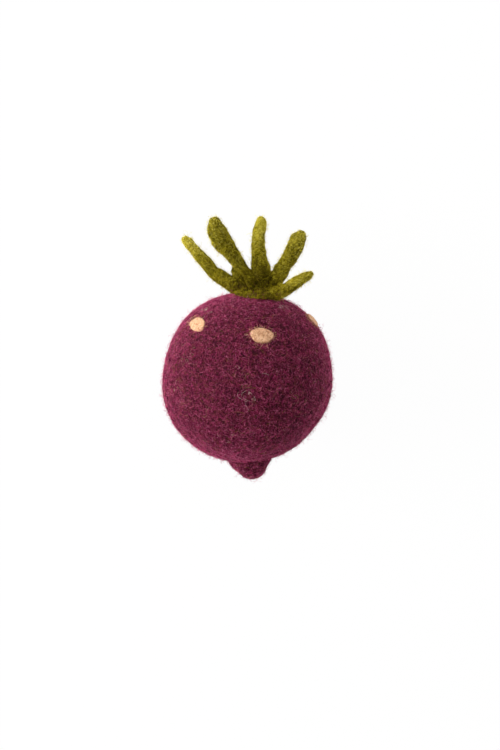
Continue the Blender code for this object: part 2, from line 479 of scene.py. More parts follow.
def press_groove(piece, line, width, depth):
    """Presses a groove into the side of a skin that faces the camera."""
    points = points_of(piece).astype(float)
    seen = seen_at(points)
    away = np.full(len(points), np.inf)
    for start, end in zip(np.array(line)[:-1], np.array(line)[1:]):
        along = np.clip((seen - start) @ (end - start) / ((end - start) ** 2).sum(), 0, 1)
        away = np.minimum(away, np.linalg.norm(seen - start - along[:, None] * (end - start), axis=1))
    outward = np.empty(len(points) * 3, np.float32)
    piece.data.vertex_normals.foreach_get("vector", outward)
    facing = np.clip(-outward.reshape(-1, 3) @ np.array(LOOK), 0, 1)
    sink = depth * MM * facing * np.exp(-((away / width) ** 2))
    put_points(piece, points + sink[:, None] * np.array(LOOK))


print("grooves to press:", len(GROOVES))

# %% [markdown]
# The same steps as for the ball make the leaves' skin, on a finer grid. Nudges pinch the leaves
# where the felt was squeezed, and the grooves are pressed before the lumps and tufts come on.

# %% Make the leaves' skin
LEAF_VOXEL = 0.42 * MM
LEAF_LUMP_GRAIN, LEAF_LUMP_HEIGHT = 3.2 * MM, 0.8 * MM
LEAF_TUFT_GRAIN, LEAF_TUFT_HEIGHT = 1.0 * MM, 0.2 * MM
LEAF_NUDGES = (
    ((209, 223), (1.0, 0.3), 4),
    ((222, 222), (-1.0, 0.8), 5),
    ((213, 216), (0.0, 1.2), 4),
    ((256, 221), (0.9, 0.0), 5),
    ((269, 260), (-1.8, 0.0), 6),
    ((249, 265), (-1.8, 0.6), 5),
    ((222, 256), (1.3, -0.8), 5),
    ((217, 266), (-0.9, 1.2), 5),
    ((223, 288), (0.7, -1.0), 6),
    ((296, 231), (0.5, 1.2), 5),
    ((287, 243), (1.0, 0.0), 6),
    ((301, 253), (0.8, 0.0), 5),
    ((291, 270), (-1.2, 0.0), 5),
    ((299, 278), (-0.2, -1.0), 8),
    ((313, 277), (-1.4, -1.0), 4),
)

finish_with(leaf_skin, "REMESH", mode="VOXEL", voxel_size=LEAF_VOXEL)
finish_with(leaf_skin, "SMOOTH", factor=0.5, iterations=2)
nudge(leaf_skin, LEAF_NUDGES)
for groove in GROOVES:
    press_groove(leaf_skin, *groove)
deepen_hollows(leaf_skin, rounds=16, full_depth=0.45 * MM, deeper=0.3 * MM)
push(leaf_skin, LEAF_LUMP_GRAIN, LEAF_LUMP_HEIGHT)
push(leaf_skin, LEAF_TUFT_GRAIN, LEAF_TUFT_HEIGHT)
leaf_skin.data.shade_smooth()
print("leaf skin:", triangles_in(leaf_skin), "triangles")

# %% [markdown]
# The green isn't even. Yellow wool was worked into the ends of the leaves, more into some than into
# others, and soft patches of it run over the rest. Round the pad the colour is painted darker, as
# painted shade where the leaves meet the ball. How yellow a place is and how far it lies from the pad
# are noted on the skin, for its material and for the dye of the fibres that will lie on it.

# %% Note where the leaves are yellow
PAD_MIDDLE = BALL_MIDDLE + Vector((3.6 * MM, 36.0 * MM, 0.9 * MM))
LEAF_REACH = 36.0 * MM
TIP_REACH = 20
LEAF_TIPS = {
    # where each leaf's end is in the picture, and how yellow it is
    "left": ((186, 240), 1.6),
    "broad": ((213, 222), 0.55),
    "middle": ((260, 220), 1.15),
    "right": ((302, 236), 0.65),
    "short": ((313, 275), 0.5),
}
PATCH_SIZE, PATCH_YELLOW = 4.5 * MM, 0.6

seen = seen_at(points_of(leaf_skin))
near_tips = [
    yellow * np.exp(-((seen - place) ** 2).sum(1) / TIP_REACH**2)
    for place, yellow in LEAF_TIPS.values()
]
patches = np.array([soft_noise(Vector(point) / PATCH_SIZE) for point in points_of(leaf_skin)])
from_pad = np.linalg.norm(points_of(leaf_skin) - np.array(PAD_MIDDLE), axis=1)
note(leaf_skin, "yellow", np.max(near_tips, axis=0) + PATCH_YELLOW * patches)
note(leaf_skin, "from_pad", from_pad / LEAF_REACH)
print(f"yellow patches from {patches.min():.2f} to {patches.max():.2f}")

# %% [markdown]
# ## The cream spots
#
# Each spot is a wisp of cream wool, needled into the ball until it lies nearly level with it. Its
# skin starts from its solid, and a little noise makes its edge uneven where it dips into the
# burgundy. Felt moves while it is worked, so no wisp ends up quite where it was laid. The two
# spots that face the camera are therefore moved a little over the ball and stretched along it,
# until they look like the ovals of the picture. The right one, seen edge on, is slid up the ball
# and made smaller. An oval is held as its middle and two directions, each over its half size.

# %% Describe the spots as ovals
SEEN_OVALS = {
    # the middle, half the width and half the height in pixels, and how many degrees it is turned
    "spot_top": ((261.8, 335.2), 11.8, 7.5, -7),
    "spot_left": ((196.6, 323.5), 7.7, 7.3, 0),
}
RIGHT_SPOT_SHARE, RIGHT_SPOT_SLIDE = 0.82, 1.15 * MM

root_tree = search_tree(root_skin)


def solid_oval(node):
    """A spot's middle, and the directions round the ball and up it, each over its half size."""
    middle = spot_middle(node)
    out = out_of_ball(middle)
    around = Vector((0, 1, 0)).cross(out).normalized()
    up = out.cross(around)
    points = points_of(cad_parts[node]) - np.array(middle)
    return middle, *(axis / np.abs(points @ np.array(axis)).max() for axis in (around, up))


def seen_oval(pixel, half_width, half_height, degrees):
    """The same three of an oval as the camera sees it."""
    turn = Matrix.Rotation(math.radians(degrees), 3, -LOOK)
    middle = under_pixel(root_tree, *pixel)
    across, up = turn @ PICTURE_RIGHT, turn @ PICTURE_UP
    return middle, across / (half_width * PIXEL), up / (half_height * PIXEL)


def slid_oval(oval, share, slide):
    """The same three of a smaller oval a little further up the ball."""
    middle, across, up = oval
    return root_tree.find_nearest(middle + up.normalized() * slide)[0], across / share, up / share


solid_ovals = {spot: solid_oval(spot) for spot in SPOTS}
ovals = dict(solid_ovals)
for spot, seen in SEEN_OVALS.items():
    ovals[spot] = seen_oval(*seen)
ovals["spot_right"] = slid_oval(ovals["spot_right"], RIGHT_SPOT_SHARE, RIGHT_SPOT_SLIDE)
for spot in SPOTS:
    print(f"{spot} moves {(ovals[spot][0] - solid_ovals[spot][0]).length / MM:.1f} mm")

# %% [markdown]
# A spot keeps its height over the round ball while it is moved and stretched. The ball's skin is
# pressed into a shallow pocket under each one, so that none of its small hills covers the cream.

# %% Press the pockets of the spots
BALL_RADIUS = 36.1 * MM
POCKET_DEPTH, POCKET_EDGE = 0.6 * MM, 0.15
FAR_FROM_SPOT = 9.0


def set_oval(piece, old, new):
    """Moves a spot from its solid's oval to another one."""
    middle, across, up = old
    out = out_of_ball(middle)
    away = points_of(piece) - np.array(middle)
    shares = away @ np.array([across, up]).T
    flat = away - (away @ np.array(out))[:, None] * np.array(out)
    height = away @ np.array(out) + (flat**2).sum(1) / (2 * BALL_RADIUS)
    height -= BALL_RADIUS - (middle - BALL_MIDDLE).length
    middle, across, up = new
    out = out_of_ball(middle)
    along = [(axis - LOOK * axis.dot(out) / LOOK.dot(out)) / axis.length_squared for axis in (across, up)]
    moved = shares @ np.array(along)
    height -= (moved**2).sum(1) / (2 * BALL_RADIUS)
    put_points(piece, np.array(middle) + moved + height[:, None] * np.array(out))


def share_of_spot(points, node):
    """How far points are from a spot's middle, where 1 is its rim."""
    middle, across, up = ovals[node]
    away = points - np.array(middle)
    share = np.hypot(away @ np.array(across), away @ np.array(up))
    same_side = (points - np.array(BALL_MIDDLE)) @ np.array(out_of_ball(middle)) > 0
    return np.where(same_side, share, FAR_FROM_SPOT)


def press_pocket(spot):
    """Sinks the ball's skin under a spot."""
    points = points_of(root_skin).astype(float)
    sink = POCKET_DEPTH * np.clip((1 - share_of_spot(points, spot)) / POCKET_EDGE, 0, 1)
    put_points(root_skin, points - sink[:, None] * np.array(out_of_ball(ovals[spot][0])))


for spot in SPOTS:
    press_pocket(spot)
print("pockets pressed:", len(SPOTS))

# %% [markdown]
# The skins of the spots are then made as the others were. How far each vertex is from the middle
# of its oval is stored on it, so that the material can turn the rim a little pink.

# %% Make the spots' skins
SPOT_VOXEL = 0.3 * MM
SPOT_GROWTH = 0.15 * MM
SPOT_GRAIN, SPOT_HEIGHT = 1.0 * MM, 0.25 * MM

spot_skins = {}
for spot in SPOTS:
    skin = copy_of(spot, f"{spot}_skin")
    grow(skin, SPOT_GROWTH)
    finish_with(skin, "REMESH", mode="VOXEL", voxel_size=SPOT_VOXEL)
    finish_with(skin, "SMOOTH", factor=0.5, iterations=3)
    if ovals[spot] != solid_ovals[spot]:
        set_oval(skin, solid_ovals[spot], ovals[spot])
    push(skin, SPOT_GRAIN, SPOT_HEIGHT)
    note(skin, "rim", share_of_spot(points_of(skin), spot))
    skin.data.shade_smooth()
    spot_skins[spot] = skin
    print(skin.name + ":", triangles_in(skin), "triangles")

# %% [markdown]
# ## How a fibre lies
#
# Every fibre starts somewhere on a skin, sets off in some direction and then wanders: at each step
# it turns a little and drops back onto the skin. Its two ends sink into the mat and its middle
# rides just above it. Loose fibres lift off the mat, and many bend back to it in a loop. Hair
# curves would do this with less work, but they don't survive an export, so each fibre becomes a
# thin closed tube of three sides.

# %% Scatter starts over a skin


def unit(vectors):
    return vectors / np.maximum(np.linalg.norm(vectors, axis=-1, keepdims=True), 1e-12)


def scatter(piece, count, draw):
    """Places spread evenly over a skin by area, and the skin's triangle at each."""
    points, corners = surface_of(piece)
    a, b, c = (points[corners[:, k]] for k in range(3))
    area = np.linalg.norm(np.cross(b - a, c - a), axis=1)
    chosen = draw.choice(len(area), count, p=area / area.sum())
    u, v = draw.random((2, count))
    folded = u + v > 1
    u[folded], v[folded] = 1 - u[folded], 1 - v[folded]
    a, b, c = a[chosen], b[chosen], c[chosen]
    return a + u[:, None] * (b - a) + v[:, None] * (c - a), corners[chosen]


def noted(piece, name, corners):
    """The number stored on a skin at each of these triangles."""
    layer = piece.data.attributes[name].data
    values = np.empty(len(layer), np.float32)
    layer.foreach_get("value", values)
    return values[corners].mean(1)


def drop_onto(tree, points):
    """The nearest point of the skin to each point, and which way is out there."""
    found = [tree.find_nearest(point)[:2] for point in points.tolist()]
    return tuple(np.array([pair[k][:] for pair in found]) for k in range(2))


print("triangles to start from:", triangles_in(root_skin), "and", triangles_in(leaf_skin))

# %% [markdown]
# From its start a fibre takes a few steps of its own length. Each one turns the heading by a small
# angle, goes on and drops back onto the nearest place on the skin.

# %% Let fibres wander
CHANCE_SHARE = 0.6


def wander(tree, starts, headings, step, turns):
    """The route of each fibre over the skin, as points and outward directions."""
    points, outward = drop_onto(tree, starts)
    heading = unit(headings - outward * (headings * outward).sum(1, keepdims=True))
    route, outs = [points], [outward]
    for turn in turns.T:
        sideways = np.cross(outward, heading)
        heading = heading * np.cos(turn)[:, None] + sideways * np.sin(turn)[:, None]
        points, outward = drop_onto(tree, points + heading * step[:, None])
        heading = unit(heading - outward * (heading * outward).sum(1, keepdims=True))
        route.append(points)
        outs.append(outward)
    return np.stack(route, 1), np.stack(outs, 1)


def curls(count, steps, curl, draw):
    """How far each fibre turns at each step: a steady bend of its own, and some chance."""
    bend = draw.normal(0, curl, (count, 1))
    return bend + draw.normal(0, curl * CHANCE_SHARE, (count, steps))


print(f"chance turns a fibre {CHANCE_SHARE} times as much as its own bend")

# %% [markdown]
# Three things can differ from fibre to fibre: its radius, how high it rides and its dye. The dye is
# a number from 0 to 1 stored on the mesh, which the wool's material turns into a colour. Each fibre
# also gets a small square of its own in a UV map, so that a texture can hold one colour for each
# fibre.

# %% Turn routes into thin tubes
SIDES = 3
SQUARE_MARGIN = 0.15


def tube_faces(rings):
    """The triangles of one strand: a point, a ring for each inner step, and a point."""
    last = 1 + rings * SIDES
    faces = []
    for side in range(SIDES):
        beside = (side + 1) % SIDES
        faces.append((0, 1 + beside, 1 + side))
        for ring in range(rings - 1):
            low, high = 1 + ring * SIDES, 1 + (ring + 1) * SIDES
            faces.append((low + side, low + beside, high + beside))
            faces.append((low + side, high + beside, high + side))
        end = 1 + (rings - 1) * SIDES
        faces.append((end + side, end + beside, last))
    return np.array(faces)


def tube_points(route, outward, radius):
    """The vertices of every strand, in the order that tube_faces numbers them."""
    along = unit(np.gradient(route, axis=1))
    side = unit(np.cross(along, outward))
    over = np.cross(side, along)
    inner = slice(1, -1)
    rings = []
    for number in range(SIDES):
        turn = 2 * math.pi * number / SIDES
        offset = over[:, inner] * math.cos(turn) + side[:, inner] * math.sin(turn)
        rings.append(route[:, inner] + offset * radius[:, None, None])
    rings = np.stack(rings, 2).reshape(len(route), -1, 3)
    return np.concatenate([route[:, :1], rings, route[:, -1:]], 1)


def fibre_squares(mesh, count, rings, faces):
    """Gives each strand its own square in a UV map."""
    across = math.ceil(math.sqrt(count))
    places = np.zeros((2 + rings * SIDES, 2))
    places[1:-1, 0] = np.repeat(np.arange(1, rings + 1), SIDES) / (rings + 1)
    places[1:-1, 1] = np.tile(np.arange(SIDES), rings) / (SIDES - 1)
    places[0] = (0.0, 0.5)
    places[-1] = (1.0, 0.5)
    inside = SQUARE_MARGIN + (1 - 2 * SQUARE_MARGIN) * places[faces.ravel()]
    numbers = np.arange(count)
    corner = np.stack([numbers % across, numbers // across], 1)
    squares = (corner[:, None, :] + inside[None]) / across
    layer = mesh.uv_layers.new(name="OFBake")
    layer.data.foreach_set("uv", squares.astype(np.float32).ravel())


print("triangles of a fibre of four steps:", len(tube_faces(3)))

# %% [markdown]
# All the fibres of a coat are joined in one piece. Before that, each point of a route is lifted
# off the skin: along a low arch where the fibre lies flat, and along a loop where it is loose.

# %% Lift fibres and join them
ARCH_FULLNESS, LEAST_RIDE = 0.6, 0.2
LEAST_RISE = 0.15 * MM
BEND_BACK = (0.5, 0.95)


def strands(name, route, outward, lift, radius, dye, material):
    """One piece that holds many fibres."""
    count = len(route)
    rings = route.shape[1] - 2
    route = route + outward * lift[:, :, None]
    route[:, :, 2] = np.maximum(route[:, :, 2], FLOOR_CLEARANCE + radius[:, None])
    points = tube_points(route, outward, radius)
    faces = tube_faces(rings)
    every = faces[None] + (np.arange(count) * points.shape[1])[:, None, None]
    mesh = bpy.data.meshes.new(name)
    mesh.from_pydata(points.reshape(-1, 3).tolist(), [], every.reshape(-1, 3).tolist())
    fibre_squares(mesh, count, rings, faces)
    mesh.materials.append(material)
    piece = bpy.data.objects.new(name, mesh)
    bpy.context.scene.collection.objects.link(piece)
    note(piece, "dye", np.repeat(dye, points.shape[1]))
    print(f"{name}: {count} fibres, {count * len(faces)} triangles")
    return piece


def lie_flat(count, steps, sink, ride, draw):
    """Heights over the skin along each fibre: sunk ends and a raised middle."""
    arch = np.sin(math.pi * np.linspace(0, 1, steps + 1)) ** ARCH_FULLNESS
    return -sink + (sink + ride * draw.uniform(LEAST_RIDE, 1.0, (count, 1))) * arch


def stand_off(count, steps, sink, reach, longest, draw):
    """Heights of loose ends: a few stand off far, and many bend back to the mat in a loop."""
    rise = np.minimum(draw.exponential(reach, (count, 1)) + LEAST_RISE, longest)
    share = np.linspace(0, 1, steps + 1)
    bend = draw.uniform(*BEND_BACK, (count, 1))
    return -sink * (1 - share) + rise * np.sin(math.pi * bend * share)


print(f"loose ends stand off by {LEAST_RISE / MM} mm or more")

# %% [markdown]
# ## Dyed wool
#
# Wool is dyed before it is felted, and the fibres take the dye unevenly. In the burgundy there are
# fibres from dark maroon to dusty pink, and a few stray olive and brown ones. A colour ramp holds
# that range, and reads the dye number of each fibre. Sheen stands for the finest fuzz, which is
# too thin to model and shows as a pale bloom where the surface turns away.

# %% Make a wool material
WOOL_ROUGHNESS, WOOL_GLOSS = 0.85, 0.06
SHEEN_ROUGHNESS = 0.35


def colour(red, green, blue):
    """A colour as it is seen, 0 to 255, turned into the linear light that a shader takes."""
    seen = np.array([red, green, blue]) / 255
    return (*np.where(seen <= 0.04045, seen / 12.92, ((seen + 0.055) / 1.055) ** 2.4), 1.0)


def add_ramp(nodes, stops):
    """A colour ramp with these stops, each a place from 0 to 1 and a colour."""
    ramp = nodes.new("ShaderNodeValToRGB")
    elements = ramp.color_ramp.elements
    while len(elements) > 1:
        elements.remove(elements[0])
    elements[0].position, elements[0].color = stops[0]
    for place, tone in stops[1:]:
        elements.new(place).color = tone
    return ramp


def wool(name, sheen, sheen_tint):
    """A material set up as wool, with its nodes, links and shader."""
    material = bpy.data.materials.new(name)
    material.use_nodes = True
    shader = material.node_tree.nodes["Principled BSDF"]
    shader.inputs["Roughness"].default_value = WOOL_ROUGHNESS
    shader.inputs["Specular IOR Level"].default_value = WOOL_GLOSS
    shader.inputs["Sheen Weight"].default_value = sheen
    shader.inputs["Sheen Roughness"].default_value = SHEEN_ROUGHNESS
    shader.inputs["Sheen Tint"].default_value = sheen_tint
    return material, material.node_tree.nodes, material.node_tree.links, shader


def fibre_wool(name, stops, sheen, sheen_tint):
    """Wool for fibres: each one's dye number picks its colour."""
    material, nodes, links, shader = wool(name, sheen, sheen_tint)
    dye = nodes.new("ShaderNodeAttribute")
    dye.attribute_name = "dye"
    ramp = add_ramp(nodes, stops)
    links.new(dye.outputs["Fac"], ramp.inputs["Fac"])
    links.new(ramp.outputs["Color"], shader.inputs["Base Color"])
    return material


print("wool's roughness:", WOOL_ROUGHNESS)

# %% [markdown]
# Each wool has its own ramp from dark to pale. The haze has paler ones than the mat: painted light,
# for the light that comes round a loose fibre from all sides, where nothing shades it.

# %% Mix the wool of the fibres
BEET_STOPS = (
    (0.00, colour(24, 0, 11)),
    (0.30, colour(37, 0, 19)),
    (0.60, colour(58, 2, 31)),
    (0.78, colour(94, 10, 54)),
    (0.86, colour(150, 44, 94)),
    (0.89, colour(84, 40, 24)),
    (0.94, colour(138, 84, 50)),
    (0.97, colour(120, 98, 42)),
    (1.00, colour(184, 134, 116)),
)
# Painted light: the haze ramps are paler than the mat's, for loose fibres lit from all sides.
BEET_HAZE_STOPS = (
    (0.00, colour(158, 34, 86)),
    (0.60, colour(212, 82, 128)),
    (1.00, colour(242, 142, 176)),
)
STRAY_STOPS = (
    (0.00, colour(130, 114, 56)),
    (0.50, colour(196, 158, 140)),
    (1.00, colour(236, 212, 204)),
)
LEAF_STOPS = (
    (0.00, colour(34, 25, 2)),
    (0.24, colour(62, 52, 2)),
    (0.50, colour(92, 82, 3)),
    (0.78, colour(146, 133, 14)),
    (1.00, colour(216, 202, 76)),
)
# Painted light: paler than the leaves' own ramp, for loose fibres lit from all sides.
LEAF_HAZE_STOPS = (
    (0.00, colour(64, 52, 4)),
    (0.22, colour(160, 142, 16)),
    (0.50, colour(224, 208, 52)),
    (1.00, colour(255, 244, 130)),
)
CREAM_STOPS = (
    (0.00, colour(182, 126, 92)),
    (0.30, colour(208, 158, 118)),
    (0.70, colour(232, 184, 144)),
    (1.00, colour(248, 218, 186)),
)
PINK_BLOOM = colour(250, 116, 166)
YELLOW_BLOOM = colour(250, 234, 50)
CREAM_BLOOM = colour(255, 222, 190)

beet_fibre_wool = fibre_wool("burgundy_fibres", BEET_STOPS, 1.0, PINK_BLOOM)
beet_haze_wool = fibre_wool("burgundy_haze", BEET_HAZE_STOPS, 1.0, PINK_BLOOM)
stray_wool = fibre_wool("stray_fibres", STRAY_STOPS, 0.2, CREAM_BLOOM)
leaf_fibre_wool = fibre_wool("green_fibres", LEAF_STOPS, 0.8, YELLOW_BLOOM)
leaf_haze_wool = fibre_wool("green_haze", LEAF_HAZE_STOPS, 1.0, YELLOW_BLOOM)
cream_fibre_wool = fibre_wool("cream_fibres", CREAM_STOPS, 0.2, CREAM_BLOOM)
print("fibre dyes:", beet_fibre_wool.name, leaf_fibre_wool.name, cream_fibre_wool.name)

# %% [markdown]
# ## The mat under the fibres
#
# Between the fibres the mat itself shows. Its own fibres are drawn by the material: where a soft
# noise crosses its middle value it leaves a thin winding line, which looks like a curled fibre.
# Several such sets of lines, each with its own dye, lie over patches of darker and lighter wool.
# All of them read Object coordinates, so the pattern stays on the wool in every view.

# %% Draw fibres with noise
NOISE_TWIST = 0.6
LINE_DETAIL, PATCH_DETAIL = 1.0, 6.0


def noise(nodes, links, place, scale, detail, offset):
    """A noise field over the piece, with features about 1 / scale metres across."""
    shift = nodes.new("ShaderNodeMapping")
    shift.inputs["Location"].default_value = (offset, -offset, 2 * offset)
    links.new(place, shift.inputs["Vector"])
    field = nodes.new("ShaderNodeTexNoise")
    field.inputs["Scale"].default_value = scale
    field.inputs["Detail"].default_value = detail
    field.inputs["Distortion"].default_value = NOISE_TWIST
    links.new(shift.outputs["Vector"], field.inputs["Vector"])
    return field.outputs["Fac"]


def winding_lines(nodes, links, place, scale, width, offset):
    """Thin winding lines, 1 on the line and 0 away from it, where a noise is near its middle."""
    field = noise(nodes, links, place, scale, LINE_DETAIL, offset)
    away = nodes.new("ShaderNodeMath")
    away.operation = "SUBTRACT"
    away.inputs[1].default_value = 0.5
    links.new(field, away.inputs[0])
    size = nodes.new("ShaderNodeMath")
    size.operation = "ABSOLUTE"
    links.new(away.outputs[0], size.inputs[0])
    line = nodes.new("ShaderNodeMapRange")
    line.inputs["From Min"].default_value = width
    line.inputs["From Max"].default_value = 0.0
    links.new(size.outputs[0], line.inputs["Value"])
    return line.outputs["Result"]


print("layers of detail in patches and lines:", PATCH_DETAIL, LINE_DETAIL)

# %% [markdown]
# The skin's material lays these over each other: patches first, then three sets of lines, then a
# stain or painted shade wherever a number stored on the skin asks for one. The lines also stand up a
# little.

# %% Build the wool of a skin
PATCH_SCALE = 1000.0
LINE_SCALES = (620.0, 950.0, 1400.0)
LINE_WIDTH, LINE_SHIFT = 0.045, 0.013
RELIEF, RELIEF_DEPTH = 0.3, 0.15 * MM


def mixed(nodes, links, factor, under, over):
    """One colour over another, by a factor."""
    mix = nodes.new("ShaderNodeMix")
    mix.data_type = "RGBA"
    links.new(factor, mix.inputs["Factor"])
    links.new(under, mix.inputs["A"])
    if isinstance(over, tuple):
        mix.inputs["B"].default_value = over
    else:
        links.new(over, mix.inputs["B"])
    return mix.outputs["Result"]


def tinted_or_shaded(nodes, links, tone, stored, start, end, share, over):
    """A second colour over the first, a stain or painted shade, as far as the number stored on the skin
    says.
    """
    reader = nodes.new("ShaderNodeAttribute")
    reader.attribute_name = stored
    part = nodes.new("ShaderNodeMapRange")
    part.inputs["From Min"].default_value = start
    part.inputs["From Max"].default_value = end
    part.inputs["To Max"].default_value = share
    links.new(reader.outputs["Fac"], part.inputs["Value"])
    return mixed(nodes, links, part.outputs["Result"], tone, over)


def skin_wool(name, patch_stops, line_tones, sheen, sheen_tint, tints_and_shades):
    """Wool for a skin: patches, winding fibres over them, stains, painted shade and relief."""
    material, nodes, links, shader = wool(name, sheen, sheen_tint)
    place = nodes.new("ShaderNodeTexCoord").outputs["Object"]
    patches = noise(nodes, links, place, PATCH_SCALE, PATCH_DETAIL, 0.0)
    ramp = add_ramp(nodes, patch_stops)
    links.new(patches, ramp.inputs["Fac"])
    tone = ramp.outputs["Color"]
    relief = patches
    for number, (scale, line_tone) in enumerate(zip(LINE_SCALES, line_tones)):
        shift = LINE_SHIFT * (number + 1)
        lines = winding_lines(nodes, links, place, scale, LINE_WIDTH, shift)
        tone = mixed(nodes, links, lines, tone, line_tone)
        higher = nodes.new("ShaderNodeMath")
        higher.operation = "MAXIMUM"
        links.new(relief, higher.inputs[0])
        links.new(lines, higher.inputs[1])
        relief = higher.outputs[0]
    for tint_or_shade in tints_and_shades:
        tone = tinted_or_shaded(nodes, links, tone, *tint_or_shade)
    links.new(tone, shader.inputs["Base Color"])
    bump = nodes.new("ShaderNodeBump")
    bump.inputs["Strength"].default_value = RELIEF
    bump.inputs["Distance"].default_value = RELIEF_DEPTH
    links.new(relief, bump.inputs["Height"])
    links.new(bump.outputs["Normal"], shader.inputs["Normal"])
    return material


print("sets of winding lines:", len(LINE_SCALES))

# %% [markdown]
# Hollows are painted darker on the ball and the leaves, as painted shade, the leaves also yellower at
# their tips and painted darker at the pad, as shade where they meet the ball, and the spots a little
# pinker at the rim, where the two wools mix.

# %% Mix the wool of the skins
beet_skin_wool = skin_wool(
    "burgundy_felt",
    ((0.38, colour(22, 0, 11)), (0.50, colour(48, 3, 25)), (0.62, colour(88, 16, 48))),
    (colour(150, 50, 92), colour(26, 1, 13), colour(120, 62, 58)),
    1.0,
    PINK_BLOOM,
    # Painted shade: the ball's hollows are coloured darker.
    (("hollow", 0.0, 1.0, 0.5, colour(24, 0, 12)),),
)
leaf_skin_wool = skin_wool(
    "green_felt",
    ((0.36, colour(54, 45, 2)), (0.50, colour(84, 75, 4)), (0.64, colour(116, 105, 10))),
    (colour(150, 137, 26), colour(50, 41, 2), colour(170, 156, 46)),
    0.9,
    YELLOW_BLOOM,
    (
        ("yellow", 0.0, 1.0, 0.7, colour(186, 172, 52)),
        # Painted shade: darker near the pad, where the leaves meet the ball, and darker in the hollows.
        ("from_pad", 0.4, 0.15, 0.8, colour(44, 30, 3)),
        ("hollow", 0.3, 1.0, 0.8, colour(38, 30, 2)),
    ),
)
cream_skin_wool = skin_wool(
    "cream_felt",
    ((0.38, colour(182, 124, 88)), (0.50, colour(214, 162, 122)), (0.62, colour(236, 192, 152))),
    (colour(246, 210, 176), colour(174, 114, 80), colour(232, 184, 144)),
    0.25,
    CREAM_BLOOM,
    (("rim", 0.86, 1.08, 0.6, colour(184, 120, 104)),),
)
root_skin.data.materials.append(beet_skin_wool)
leaf_skin.data.materials.append(leaf_skin_wool)
for skin in spot_skins.values():
    skin.data.materials.append(cream_skin_wool)
print("felts:", beet_skin_wool.name, leaf_skin_wool.name, cream_skin_wool.name)

# %% [markdown]
# ## A coat of fibres
#
# A coat is one kind of fibre laid all over a piece. The kinds differ in their number of steps,
# their length and radius, how much they curl, and how far they ride over the mat or reach off it.
# No two fibres of a coat have quite the same length, radius or height.

# %% Lay a coat
Fibre = namedtuple("Fibre", "steps length radius curl ride reach")
LENGTH_SPREAD, RADIUS_SPREAD = (0.6, 1.3), (0.7, 1.3)
SINK = 0.12 * MM
LONGEST = 3.0 * MM


def lay(name, tree, starts, headings, dye, fibre, material, draw, keep=None):
    """One piece of fibres of a kind, which wander from their starts."""
    count, steps = len(starts), fibre.steps
    step = fibre.length * draw.uniform(*LENGTH_SPREAD, count) / steps
    route, outward = wander(tree, starts, headings, step, curls(count, steps, fibre.curl, draw))
    if keep:
        kept = keep(route)
        route, outward, dye, count = route[kept], outward[kept], dye[kept], kept.sum()
    if fibre.reach:
        lift = stand_off(count, steps, SINK, fibre.reach, LONGEST, draw)
    else:
        lift = lie_flat(count, steps, SINK, fibre.ride, draw)
    radius = fibre.radius * draw.uniform(*RADIUS_SPREAD, count)
    return strands(name, route, outward, lift, radius, dye, material)


print(f"fibre ends sink by {SINK / MM} mm and reach {LONGEST / MM} mm at most")

# %% [markdown]
# ## Fibres of the ball
#
# The ball's fibres lie every way, because it was rolled between the palms. They are laid in four
# coats: short ones deep in the mat, long curly ones over them, a thin fuzz, and a haze of loose
# ends. None starts under the leaves or comes near the middle of a spot, but some cross a spot's
# rim, which is what makes that rim ragged.

# %% Lay the ball's fibres
PAD_REACH = 9.0 * MM
SPOT_MARGIN = 0.85
SPARE_STARTS = 1.1
# Painted shade: how much darker the fibres' dye is made in the ball's hollows.
CREASE_PAINTED_SHADE = 0.4
SHORT = Fibre(4, 3.6 * MM, 0.068 * MM, 0.65, 0.10 * MM, 0)
LONG = Fibre(6, 5.6 * MM, 0.046 * MM, 0.65, 0.22 * MM, 0)
FUZZ = Fibre(2, 1.0 * MM, 0.046 * MM, 0.60, 0, 0.25 * MM)
LOOSE = Fibre(3, 2.4 * MM, 0.034 * MM, 0.90, 0, 0.45 * MM)

ball_tree = search_tree(root_skin, *spot_skins.values())


def clear_of_spots(route):
    """Which fibres stay out of the middle of every spot."""
    clear = np.ones(len(route), bool)
    for spot in SPOTS:
        clear &= (share_of_spot(route, spot) > SPOT_MARGIN).all(1)
    return clear


def off_the_pad(points):
    """Which points of the ball aren't under the leaves."""
    return np.linalg.norm(points - np.array(PAD_MIDDLE), axis=1) > PAD_REACH


def every_way(count, draw):
    """Headings in every direction."""
    return unit(draw.normal(size=(count, 3)))


def lay_on_ball(name, count, fibre, material, seed):
    """A coat over the ball, left out under the leaves and on the spots."""
    draw = np.random.default_rng(seed)
    starts, corners = scatter(root_skin, int(count * SPARE_STARTS), draw)
    open_ball = off_the_pad(starts)
    starts, corners = starts[open_ball][:count], corners[open_ball][:count]
    hollow = noted(root_skin, "hollow", corners)
    # Painted shade: fibres that start in a hollow get a darker dye.
    dye = draw.random(len(starts)) * (1 - CREASE_PAINTED_SHADE * hollow)
    headings = every_way(len(starts), draw)
    return lay(name, ball_tree, starts, headings, dye, fibre, material, draw, clear_of_spots)


root_coats = [
    lay_on_ball("root_short_fibres", 5000, SHORT, beet_fibre_wool, 100),
    lay_on_ball("root_long_fibres", 5400, LONG, beet_fibre_wool, 101),
    # Painted light: the fuzz and loose ends take the paler haze ramp.
    lay_on_ball("root_fuzz", 16000, FUZZ, beet_haze_wool, 103),
    lay_on_ball("root_loose_fibres", 16400, LOOSE, beet_haze_wool, 102),
]

# %% [markdown]
# A few pale or olive hairs came along with the dyed wool. They lie in small tangles, and the
# picture shows where on its side of the ball. Burgundy hairs also climb over the foot of the
# leaves, where the two wools were needled together.

